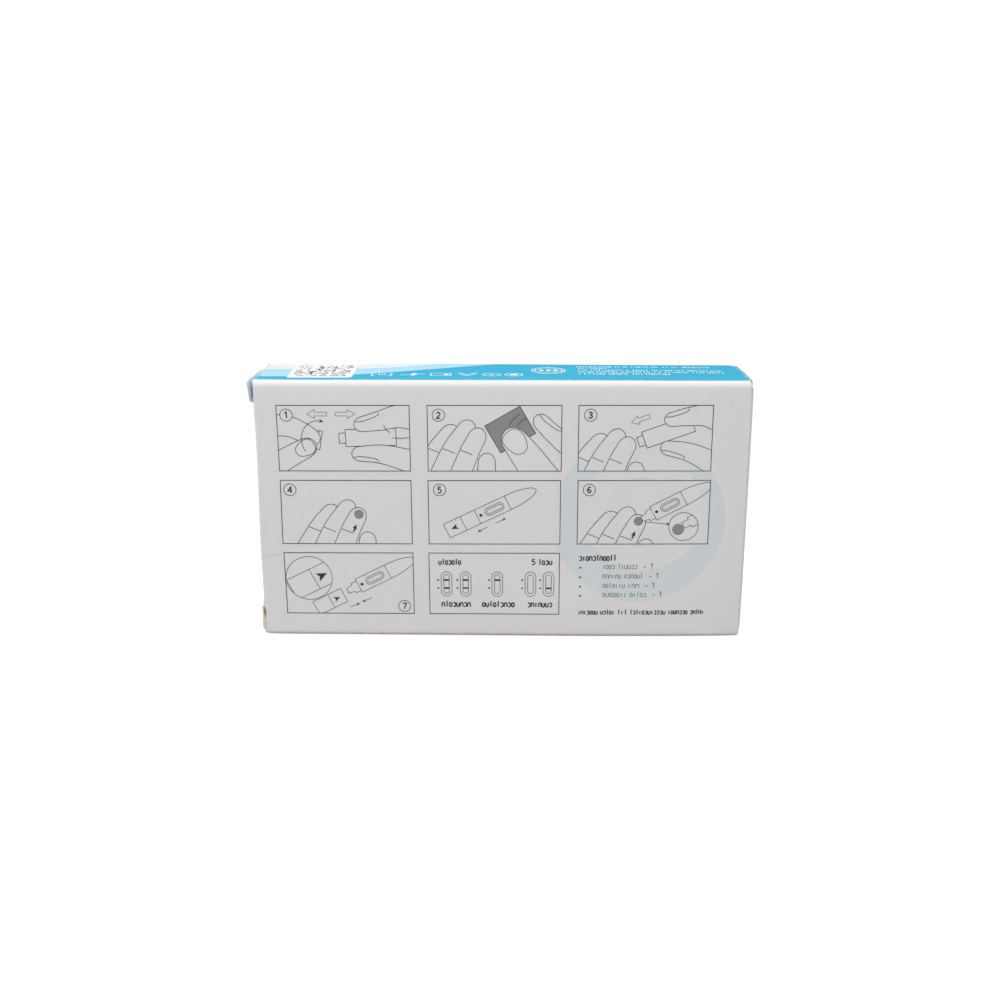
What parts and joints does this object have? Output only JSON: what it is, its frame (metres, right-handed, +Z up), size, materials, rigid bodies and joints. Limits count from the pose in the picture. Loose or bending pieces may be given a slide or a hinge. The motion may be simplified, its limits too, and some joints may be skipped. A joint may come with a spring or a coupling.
{
  "type": "sealed test kit carton",
  "caption": "Sealed tuck-end paperboard carton of a rapid self-test kit, standing on its long narrow side, with a clear round seal over each tucked closure.",
  "frame": {"origin": "middle of the carton's base, on the surface that it stands on", "axes": "+X along the carton's length, from the seen left end to the right end; +Y from the printed front panel to the back panel; +Z up"},
  "size_m": [0.1326, 0.0222, 0.0715],
  "materials": {
    "carton_board": "coated white board, satin, with grey-brown cut edges",
    "clear_film": "clear self-adhesive film, glossy"
  },
  "bodies": {
    "root": {"carton": "carton_board", "left_seal": "clear_film", "right_seal": "clear_film"}
  },
  "joints": []
}
